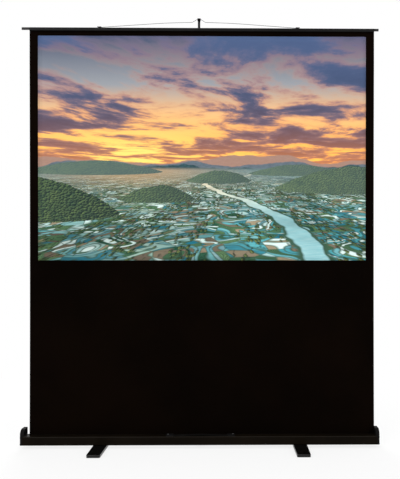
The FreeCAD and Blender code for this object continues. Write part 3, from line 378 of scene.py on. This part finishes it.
def flooded_terraces(graph, ground, mirror):
    """The valley floor: flooded steps along the slope, green and bare plots, and the banks between them."""
    lie = graph.stretched(ground, (1.0, 1.3, 1.0))
    slope = graph.noise(lie, scale=9.5, detail=2.0, roughness=0.45, distortion=0.5)
    level = graph.times(slope, TERRACE_LEVELS)
    step = graph.math("FLOOR", level)
    edge = graph.math("PINGPONG", level, 0.5)
    lots = graph.stretched(ground, (0.8, 1.0, 1.0))
    lot = graph.voronoi(lots, LOT_SCALE)
    dike = graph.voronoi(lots, LOT_SCALE, "DISTANCE_TO_EDGE").outputs["Distance"]
    lot_number = graph.times(graph.channels(lot.outputs["Color"])[0], 50.0)
    plot = graph.combine(step, lot_number)
    draw = graph.add("ShaderNodeTexWhiteNoise", {"Vector": plot}).outputs["Color"]
    kind, tone, pale = graph.channels(draw)
    water = graph.mix(tone, srgb(34, 108, 128), mirror)
    water = graph.mix(graph.spread(pale, 0.52, 0.86), water, srgb(210, 228, 224))
    water = graph.mix(graph.spread(edge, 0.34, 0.1, 0.0, 0.55), water, srgb(64, 98, 92))
    rows = graph.math("SINE", graph.times(level, 2 * math.pi * ROWS_PER_LEVEL))
    plants = graph.mix(tone, srgb(34, 82, 66), srgb(104, 136, 96))
    plants = graph.mix(graph.spread(rows, -1.0, 1.0, 0.0, 0.5), plants, srgb(18, 46, 42))
    earth = graph.mix(tone, srgb(88, 78, 70), srgb(158, 142, 118))
    plots = graph.mix(graph.math("GREATER_THAN", kind, 0.62), water, plants)
    plots = graph.mix(graph.math("GREATER_THAN", kind, 0.86), plots, earth)
    ripple = water_ripple(graph, ground)
    plots = graph.mix(0.5, plots, graph.mix(ripple, srgb(50, 66, 70), srgb(236, 242, 236)), "OVERLAY")
    bank = graph.larger(graph.spread(edge, 0.13, 0.05), graph.spread(dike, 0.03, 0.012))
    grass = graph.mix(ripple, srgb(30, 58, 52), srgb(88, 112, 84))
    return graph.mix(graph.times(bank, 0.6), plots, grass)


def winding_river(graph, ground, mirror, floor):
    """A river that comes down the valley in slow bends, between green shores."""
    sideways, away = graph.split(ground)[:2]
    sway = graph.math("SINE", graph.times_plus(away, 3.4, 0.6))
    course = graph.times_plus(sway, 0.13, -0.05)
    bend = graph.times_plus(graph.noise(ground, scale=9.0, detail=3.0), 0.06, -0.03)
    aside = graph.math("ABSOLUTE", graph.plus(graph.minus(sideways, course), bend))
    shore = graph.mix(graph.spread(aside, SHORE_EDGE, WATER_EDGE), floor, srgb(58, 88, 72))
    light = graph.times(water_ripple(graph, ground), 0.5)
    water = graph.mix(light, mirror, srgb(240, 246, 240))
    return graph.mix(graph.spread(aside, WATER_EDGE, 0.75 * WATER_EDGE), shore, water)


def scattered_trees(graph, across, near, floor):
    """Single trees and small woods on the valley floor, upright in the picture and smaller with distance."""
    spot = graph.combine(
        graph.over(graph.minus(across, VANISHING_ACROSS), near),
        graph.times(graph.math("LOGARITHM", near, math.e), 0.7),
    )
    crowns = graph.voronoi(spot, scale=32.0)
    tint = graph.channels(crowns.outputs["Color"])[1]
    wood = graph.noise(spot, scale=2.6, detail=4.0)
    grown = graph.spread(graph.times_plus(tint, 0.3, wood), 0.69, 0.72)
    shade = graph.times(grown, graph.spread(crowns.outputs["Distance"], 0.9, 0.45, 0.0, 0.7))
    floor = graph.mix(shade, floor, srgb(14, 34, 34))
    aside = graph.vector("SUBTRACT", spot, crowns.outputs["Position"])
    facing = graph.vector("DOT_PRODUCT", aside, (-20.0, 26.0, 0.0))
    twigs = graph.noise(spot, scale=110.0, detail=3.0, roughness=0.7)
    facing = graph.times_plus(graph.minus(twigs, 0.5), 1.8, facing)
    leaves = graph.mix(tint, srgb(34, 76, 58), srgb(120, 134, 78))
    leaves = graph.mix(graph.spread(facing, -0.5, 0.6), srgb(10, 30, 30), leaves)
    crown = graph.times(grown, graph.spread(crowns.outputs["Distance"], 0.52, 0.4))
    return graph.mix(crown, floor, leaves)


def knoll_shape(graph, across, up, middle, half_width, foot, rise, crowns_across):
    """1 inside a round hill between its crest and its hem, and the place across it from -1 to 1."""
    side = graph.over(graph.minus(across, middle), half_width)
    dome = graph.math("SUBTRACT", 1.0, graph.power(graph.math("ABSOLUTE", side), 2.0), clamp=True)
    line = graph.combine(across, middle)
    ridge = graph.noise(line, scale=0.55 / half_width, detail=4.0, roughness=0.6)
    tops = graph.noise(line, scale=crowns_across, detail=3.0, roughness=0.7)
    height = graph.times(dome, graph.times_plus(ridge, 1.1 * rise, 0.45 * rise))
    crest = graph.plus(height, graph.times_plus(tops, 1.6 / crowns_across, foot))
    toe = graph.times_plus(graph.power(dome, 0.5), -0.3 * rise, foot)
    hem = graph.times_plus(tops, 1.2 / crowns_across, toe)
    soft_edge = 0.3 / crowns_across
    under_crest = graph.spread(graph.minus(crest, up), 0.0, soft_edge)
    over_hem = graph.spread(graph.minus(up, hem), 0.0, soft_edge)
    inside = graph.math("GREATER_THAN", dome, 0.0)
    return graph.times(graph.times(under_crest, over_hem), inside), side


def wooded_knolls(graph, across, up, picture):
    """Round hills with trees that stand on the valley floor, from far to near, lit from the left."""
    for middle, half_width, foot, rise, crowns_across, haze in (
        (0.17, 0.21, 0.392, 0.052, 230.0, 0.44),
        (0.79, 0.15, 0.385, 0.040, 230.0, 0.40),
        (0.55, 0.10, 0.352, 0.046, 190.0, 0.32),
        (0.98, 0.26, 0.318, 0.096, 170.0, 0.26),
        (0.36, 0.12, 0.268, 0.058, 135.0, 0.18),
        (-0.02, 0.27, 0.205, 0.150, 110.0, 0.08),
    ):
        grown, side = knoll_shape(graph, across, up, middle, half_width, foot, rise, crowns_across)
        spot = graph.combine(across, graph.times(up, 1.1), middle)
        trees = graph.voronoi(spot, crowns_across)
        tint = graph.channels(trees.outputs["Color"])[1]
        aside = graph.vector("SUBTRACT", spot, trees.outputs["Position"])
        facing = graph.vector("DOT_PRODUCT", aside, (-0.6 * crowns_across, 0.8 * crowns_across, 0.0))
        facing = graph.plus(facing, graph.times(side, -0.25))
        twigs = graph.noise(spot, scale=3.0 * crowns_across, detail=3.0, roughness=0.7)
        facing = graph.times_plus(graph.minus(twigs, 0.5), 1.6, facing)
        stand = graph.noise(spot, scale=0.16 * crowns_across, detail=3.0)
        leaves = graph.mix(graph.times_plus(tint, 0.6, stand), srgb(20, 62, 54), srgb(104, 124, 72))
        wood = graph.mix(graph.spread(facing, -0.5, 0.7), srgb(8, 28, 30), leaves)
        wood = graph.mix(haze, wood, srgb(112, 132, 132))
        picture = graph.mix(grown, picture, wood)
    return picture


def evening_valley(graph, across, below, glow):
    """The valley floor in perspective: terraces, trees and a river, under cloud shadows and far haze."""
    near = graph.plus(graph.larger(below, 0.0), VALLEY_END)
    ground = graph.combine(
        graph.times(graph.over(graph.minus(across, VANISHING_ACROSS), near), GROUND_WIDTH),
        graph.over(GROUND_DEPTH, near),
    )
    mirror = graph.mix(graph.spread(near, 0.03, 0.26), srgb(214, 196, 156), srgb(90, 174, 184))
    mirror = graph.mix(graph.times(glow, 0.3), mirror, srgb(255, 206, 128))
    valley = flooded_terraces(graph, ground, mirror)
    valley = scattered_trees(graph, across, near, valley)
    valley = winding_river(graph, ground, mirror, valley)
    shade = graph.spread(graph.noise(ground, scale=5.0, detail=4.0), 0.3, 0.62, 0.6, 1.12)
    valley = graph.mix(1.0, valley, graph.combine(shade, shade, shade), "MULTIPLY")
    haze = graph.mix(graph.times(glow, 0.6), srgb(104, 132, 138), srgb(236, 176, 104))
    return graph.mix(graph.spread(near, 0.13, 0.0, 0.0, 0.85), valley, haze)


def picture_surface():
    """The matt viewing surface with a made-up picture: hills and flooded terraces under an evening sky."""
    material, graph, surface = new_material("viewing_picture")
    across, up = graph.split(graph.flat_place("picture"))[:2]
    height = graph.larger(graph.over(graph.minus(up, HORIZON), 1 - HORIZON), 0.0)
    sky, glow = evening_sky(graph, across, height)
    picture = hill_ranges(graph, across, up, sky)
    below = graph.minus(HORIZON - VALLEY_END, up)
    valley = evening_valley(graph, across, below, glow)
    picture = graph.mix(graph.spread(below, 0.0, 0.02), picture, valley)
    picture = wooded_knolls(graph, across, up, picture)
    graph.join(surface.inputs["Base Color"], picture)
    place = graph.flat_place("cloth")
    grain = graph.noise(place, scale=900.0, detail=3.0)
    graph.join(surface.inputs["Roughness"], graph.spread(grain, 0.3, 0.7, 0.78, 0.9))
    surface.inputs["Specular IOR Level"].default_value = 0.08
    relief = graph.times_plus(woven(graph, place), 0.3, grain)
    graph.join(surface.inputs["Normal"], graph.bump(relief, strength=0.2, distance=0.00008))
    return material


# The case and the bar get a painted highlight along their rounded upper edges, set by their rim share.
finishes = {
    "case": satin("case_powder_black", srgb(13, 9, 5), rough=0.42, specular=0.028, lines=ALONG_X, rim_highlight_share=0.45),
    "bar": satin("bar_anodised_black", srgb(10, 10, 10), rough=0.38, specular=0.10, lines=ALONG_X, rim_highlight_share=0.9),
    "pole": satin("pole_anodised_black", srgb(18, 18, 18), rough=0.34, specular=0.16, lines=ALONG_Z),
    "plastic": moulded("moulded_plastic_black", srgb(11, 10, 10), rough=0.62, specular=0.05),
    "bar_end": moulded("bar_end_plastic_black", srgb(20, 20, 20), rough=0.44, specular=0.22),
    "fitting": moulded("pole_fitting_plastic_black", srgb(24, 24, 25), rough=0.46, specular=0.32),
    "foot": satin(
        "foot_powder_black", srgb(3, 3, 3), rough=0.30, specular=0.30, lines=EVEN, grain=500.0, depth=0.0002
    ),
    "bracket": satin(
        "bracket_painted_black", srgb(22, 22, 23), rough=0.45, specular=0.35, lines=EVEN, grain=600.0
    ),
    "steel": bare_metal("turned_steel", srgb(168, 168, 170), rough=0.30, lines=(0.4, 1.0, 1.0)),
    "aluminium": bare_metal("drawn_aluminium", srgb(190, 191, 193), rough=0.34, lines=ALONG_X),
    "wire": bare_metal("spring_wire_steel", srgb(74, 75, 78), rough=0.36, lines=(0.1, 1.0, 1.0)),
    "rubber": moulded("rubber_black", srgb(10, 9, 8), rough=0.72, specular=0.06),
    "cloth": cloth_black(),
    "picture": picture_surface(),
}

node_finish = {
    "case": ["case_body"],
    "bar": ["top_bar"],
    "pole": ["pole_lower_tube", "pole_middle_tube", "pole_upper_tube"],
    "plastic": [
        "left_end_cap", "right_end_cap", "slot_liners", "left_roller_plug", "right_roller_plug",
        "left_wire_clip", "right_wire_clip", "pole_hook", "handle_end_caps", "fabric_spline",
    ],
    "bar_end": ["left_bar_end", "right_bar_end"],
    "fitting": [
        "pole_knuckle", "pole_pivot_knob", "middle_tube_glide", "upper_tube_glide", "lower_clamp_collar",
        "upper_clamp_collar", "lower_clamp_lever", "upper_clamp_lever",
    ],
    "foot": ["left_foot_bar", "right_foot_bar"],
    "bracket": ["pole_bracket", "left_roller_bracket", "right_roller_bracket"],
    "steel": [
        "end_cap_screws", "spring_shaft", "roller_spring", "pole_bracket_screws", "pole_pivot_bolt",
        "lower_clamp_bolt", "upper_clamp_bolt", "left_foot_pivot", "right_foot_pivot", "handle_screws",
    ],
    "aluminium": ["roller_tube"],
    "rubber": ["left_foot_pads", "right_foot_pads"],
}
for finish, members in node_finish.items():
    for member in members:
        nodes[member].data.materials.clear()
        nodes[member].data.materials.append(finishes[finish])


def link(item):
    bpy.context.scene.collection.objects.link(item)
    return item


def new_piece(name, points, faces, finish, smooth=True):
    mesh = bpy.data.meshes.new(name)
    mesh.from_pydata(points, [], faces)
    mesh.validate()
    mesh.materials.append(finishes[finish])
    for face in mesh.polygons:
        face.use_smooth = smooth
    return link(bpy.data.objects.new(name, mesh))


def write_uv(piece, layer, rule):
    """Gives each corner of the piece the flat place that rule(x, z) says."""
    uv = piece.data.uv_layers.new(name=layer)
    for loop in piece.data.loops:
        spot = piece.data.vertices[loop.vertex_index].co
        uv.data[loop.index].uv = rule(spot.x, spot.z)


def in_metres(x, z):
    return x, z


# the hanging cloth and the coating on its front, whose faces are measured from the cloth's middle plane
CLOTH_FACES = (-0.00015, 0.00015)
COATING_FACES = (-0.00028, -0.00018)
CLOTH_GRID = (72, 84)
COATING_GRID = (66, 46)
SLOT_CLEARANCE = 0.004
FLAT_UNDER_BAR = 0.18
DRAWN_IN = 0.0014
LONG_WAVE = 0.0008
SHORT_WAVE = 0.0005
EDGE_CURL = 0.0012

cloth_low, cloth_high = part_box("screen_fabric")
picture_low, picture_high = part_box("viewing_surface")
cloth_plane = (cloth_low.y + cloth_high.y) / 2
cloth_middle = (cloth_low.x + cloth_high.x) / 2
cloth_half = (cloth_high.x - cloth_low.x) / 2
cloth_thickness = cloth_high.y - cloth_low.y
slot_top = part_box("case_body")[1].z + SLOT_CLEARANCE
flat_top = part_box("top_bar")[0].z - FLAT_UNDER_BAR


def hang(x, z):
    """How far the pulled-up cloth leaves its flat place, along x and along y.

    It is flat at the slot and under the bar. Between them its sides are drawn in and curl, and it has
    slow waves.
    """
    share = min(max((z - slot_top) / (flat_top - slot_top), 0.0), 1.0)
    free = math.sin(math.pi * share) ** 0.8
    side = (x - cloth_middle) / cloth_half
    inward = -DRAWN_IN * free * side ** 3
    waves = LONG_WAVE * math.sin(9.2 * x + 1.1 * math.sin(2.3 * z) + 0.6)
    waves += SHORT_WAVE * math.sin(15.0 * x - 2.1 * z + 2.0)
    curl = EDGE_CURL * side ** 16
    return inward, free * (waves + curl)


def thin_sheet(name, low, high, offsets, grid, finish):
    """A closed thin sheet that follows the hanging cloth, with its faces at the offsets from its plane."""
    columns, rows = grid
    xs = [low.x + (high.x - low.x) * i / columns for i in range(columns + 1)]
    zs = [low.z + (high.z - low.z) * j / rows for j in range(rows + 1)]
    points = []
    for offset in offsets:
        for z in zs:
            for x in xs:
                inward, out = hang(x, z)
                points.append((x + inward, cloth_plane + out + offset, z))
    wide = columns + 1
    layer = wide * (rows + 1)
    faces = []
    for j in range(rows):
        for i in range(columns):
            a = j * wide + i
            faces.append((a, a + 1, a + wide + 1, a + wide))
            faces.append((layer + a, layer + a + wide, layer + a + wide + 1, layer + a + 1))
    rim = list(range(columns))
    rim += [j * wide + columns for j in range(rows)]
    rim += [rows * wide + i for i in range(columns, 0, -1)]
    rim += [j * wide for j in range(rows, 0, -1)]
    for a, b in zip(rim, rim[1:] + rim[:1]):
        faces.append((a, layer + a, layer + b, b))
    return new_piece(name, points, faces, finish)


def in_picture(x, z):
    """The place in the picture, from 0 to 1 each way."""
    size = picture_high - picture_low
    return (x - picture_low.x) / size.x, (z - picture_low.z) / size.z


cloth = thin_sheet("screen_cloth", cloth_low, cloth_high, CLOTH_FACES, CLOTH_GRID, "cloth")
write_uv(cloth, "cloth", in_metres)
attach(cloth, "base")
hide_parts("screen_fabric")

picture = thin_sheet("picture_area", picture_low, picture_high, COATING_FACES, COATING_GRID, "picture")
write_uv(picture, "cloth", in_metres)
write_uv(picture, "picture", in_picture)
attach(picture, "base")
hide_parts("viewing_surface")

for piece in (cloth, picture):
    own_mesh(piece)

# the turns of cloth that stay on the roller
STEPS_PER_TURN = 48
TUBE_GAP = 0.00001
WOUND_SHARE = 0.93

roll_low, roll_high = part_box("fabric_roll")
tube_low, tube_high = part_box("roller_tube")
tube_radius = (tube_high.z - tube_low.z) / 2
roll_radius = (roll_high.z - roll_low.z) / 2
roll_y = (roll_low.y + roll_high.y) / 2
roll_z = (roll_low.z + roll_high.z) / 2
turn_count = round((roll_radius - tube_radius) / cloth_thickness)


def wound_turns():
    """The cloth wound up turn on turn: one long strip that climbs as it goes round."""
    steps = STEPS_PER_TURN * turn_count
    points = []
    for step in range(steps + 1):
        angle = 2 * math.pi * (step / STEPS_PER_TURN - turn_count)
        inner = tube_radius + (roll_radius - tube_radius - cloth_thickness) * step / steps
        for radius in (inner + TUBE_GAP, inner + WOUND_SHARE * cloth_thickness):
            for x in (roll_low.x, roll_high.x):
                points.append((x, roll_y + radius * math.cos(angle), roll_z + radius * math.sin(angle)))
    faces = [(0, 1, 3, 2)]
    for step in range(steps):
        a = 4 * step
        b = a + 4
        faces.append((a, b, b + 1, a + 1))
        faces.append((a + 2, a + 3, b + 3, b + 2))
        faces.append((a, a + 2, b + 2, b))
        faces.append((a + 1, b + 1, b + 3, a + 3))
    end = 4 * steps
    faces.append((end, end + 2, end + 3, end + 1))
    return points, faces


turns = new_piece("wound_turns", *wound_turns(), "cloth", smooth=False)
write_uv(turns, "cloth", in_metres)
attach(turns, "roller")
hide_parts("fabric_roll")

wire = link(bpy.data.objects.new("bail_wire", nodes["suspension_wire"].data.copy()))
wire.data.materials.clear()
wire.data.materials.append(finishes["wire"])
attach(wire, "wire")
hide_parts("suspension_wire")
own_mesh(wire)

# the carry strap: a ribbed rubber band that bows up a little between its end caps
STRAP_SIDES = 24
STRAP_STATIONS = 240
STRAP_BOW = 0.0035
STRAP_FILL = 0.9
RIB_HEIGHT = 0.00035
RIB_PITCH = 0.0071
RIBBED_LENGTH_SHARE = 0.68
RIBBED_WIDTH_SHARE = 0.86

strap_low, strap_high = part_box("carry_handle")


def rounded(value, exponent):
    """A sine or cosine drawn out towards the corners of a box."""
    return math.copysign(abs(value) ** exponent, value)


def carry_strap():
    """A band of one rounded profile along x, lifted by its bow and, on top of the grip, by the ribs."""
    middle_x = (strap_low.x + strap_high.x) / 2
    middle_y = (strap_low.y + strap_high.y) / 2
    half_length = (strap_high.x - strap_low.x) / 2
    half_width = (strap_high.y - strap_low.y) / 2
    thickness = strap_high.z - strap_low.z
    profile = []
    for side in range(STRAP_SIDES):
        angle = 2 * math.pi * side / STRAP_SIDES
        wide = rounded(math.cos(angle), 0.35) * half_width
        tall = rounded(math.sin(angle), 0.6) * thickness / 2
        profile.append((wide, tall))
    points = []
    for station in range(STRAP_STATIONS + 1):
        along = 2 * station / STRAP_STATIONS - 1
        bow = STRAP_BOW * max(0.0, math.cos(math.pi * along / 2)) ** 2
        rib = RIB_HEIGHT * math.cos(2 * math.pi * along * half_length / RIB_PITCH)
        for wide, tall in profile:
            on_top = tall > 0 and abs(wide) < half_width * RIBBED_WIDTH_SHARE
            lift = rib if on_top and abs(along) < RIBBED_LENGTH_SHARE else 0.0
            z = strap_low.z + thickness / 2 + bow + tall * STRAP_FILL + lift
            points.append((middle_x + along * half_length, middle_y + wide, z))
    faces = [tuple(range(STRAP_SIDES - 1, -1, -1))]
    for station in range(STRAP_STATIONS):
        first = STRAP_SIDES * station
        for side in range(STRAP_SIDES):
            a = first + side
            b = first + (side + 1) % STRAP_SIDES
            faces.append((a, b, b + STRAP_SIDES, a + STRAP_SIDES))
    last = STRAP_SIDES * STRAP_STATIONS
    faces.append(tuple(range(last, last + STRAP_SIDES)))
    return points, faces


band = new_piece("carry_strap", *carry_strap(), "rubber")
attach(band, "base")
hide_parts("carry_handle")

# floor, world, lamps and camera
WHITE = (1.0, 1.0, 1.0, 1.0)
FLOOR_HALF = 30.0
FLOOR_DROP = 0.0005
WORLD_LIGHT = 0.5


def pale_floor_finish():
    """A matt pale floor that is seen as white, and less so near the object, to keep its shadow."""
    material, graph, surface = new_material("floor_pale")
    surface.inputs["Base Color"].default_value = srgb(246, 246, 246)
    surface.inputs["Roughness"].default_value = 0.9
    surface.inputs["Specular IOR Level"].default_value = 0.1
    lit = graph.add("ShaderNodeEmission", {"Color": WHITE, "Strength": 1.0})
    spot = graph.add("ShaderNodeNewGeometry").outputs["Position"]
    reach = graph.add("ShaderNodeVectorMath", {0: spot}, operation="LENGTH").outputs["Value"]
    share = graph.spread(reach, 0.9, 2.6, 0.78, 1.0)
    seen = graph.times(graph.background_seen(), share)
    blended = graph.add("ShaderNodeMixShader", {0: seen, 1: surface.outputs[0], 2: lit.outputs[0]})
    graph.join(material.node_tree.nodes["Material Output"].inputs["Surface"], blended.outputs[0])
    return material


floor_mesh = bpy.data.meshes.new("floor")
floor_corners = [(x * FLOOR_HALF, y * FLOOR_HALF, 0.0) for x, y in ((-1, -1), (1, -1), (1, 1), (-1, 1))]
floor_mesh.from_pydata(floor_corners, [], [(0, 1, 2, 3)])
floor_mesh.materials.append(pale_floor_finish())
floor = link(bpy.data.objects.new("floor", floor_mesh))
floor.location.z = -FLOOR_DROP

world = bpy.data.worlds.new("studio")
bpy.context.scene.world = world
world.use_nodes = True
world_graph = Graph(world.node_tree)
background = world.node_tree.nodes["Background"]
background.inputs["Color"].default_value = WHITE
strength = world_graph.times_plus(world_graph.background_seen(), 1 - WORLD_LIGHT, WORLD_LIGHT)
world_graph.join(background.inputs["Strength"], strength)


def lamp(name, place, target, size, power):
    data = bpy.data.lights.new(name, "AREA")
    data.shape = "RECTANGLE"
    data.size, data.size_y = size
    data.energy = power
    item = link(bpy.data.objects.new(name, data))
    item.location = place
    item.rotation_euler = (Vector(target) - Vector(place)).to_track_quat("-Z", "Y").to_euler()
    item.visible_camera = False


lamp("key", place=(-3.4, -5.2, 3.0), target=(0, 0, 1.0), size=(3.0, 2.4), power=145)
lamp("fill", place=(4.2, -4.6, 2.2), target=(0, 0, 1.0), size=(3.0, 2.4), power=128)
lamp("top", place=(0.2, -0.4, 4.6), target=(0, 0, 0), size=(4.0, 3.0), power=85)
lamp("rear", place=(-1.0, 5.2, 3.0), target=(0, 0, 1.0), size=(3.0, 2.4), power=170)

CAMERA_PLACE = (0.1469, -3.0972, 0.8892)
CAMERA_YAW = -0.666
CAMERA_LENS = 47.145
CAMERA_SENSOR = 36.0
CAMERA_SHIFT = (-0.0786, 0.0565)
CAMERA_REACH = 200.0

camera_data = bpy.data.cameras.new("camera")
camera_data.lens = CAMERA_LENS
camera_data.sensor_width = CAMERA_SENSOR
camera_data.shift_x, camera_data.shift_y = CAMERA_SHIFT
camera_data.clip_end = CAMERA_REACH
camera = link(bpy.data.objects.new("camera", camera_data))
camera.location = CAMERA_PLACE
camera.rotation_euler = (math.radians(90), 0, math.radians(CAMERA_YAW))
bpy.context.scene.camera = camera
bpy.context.scene.view_settings.view_transform = "Standard"
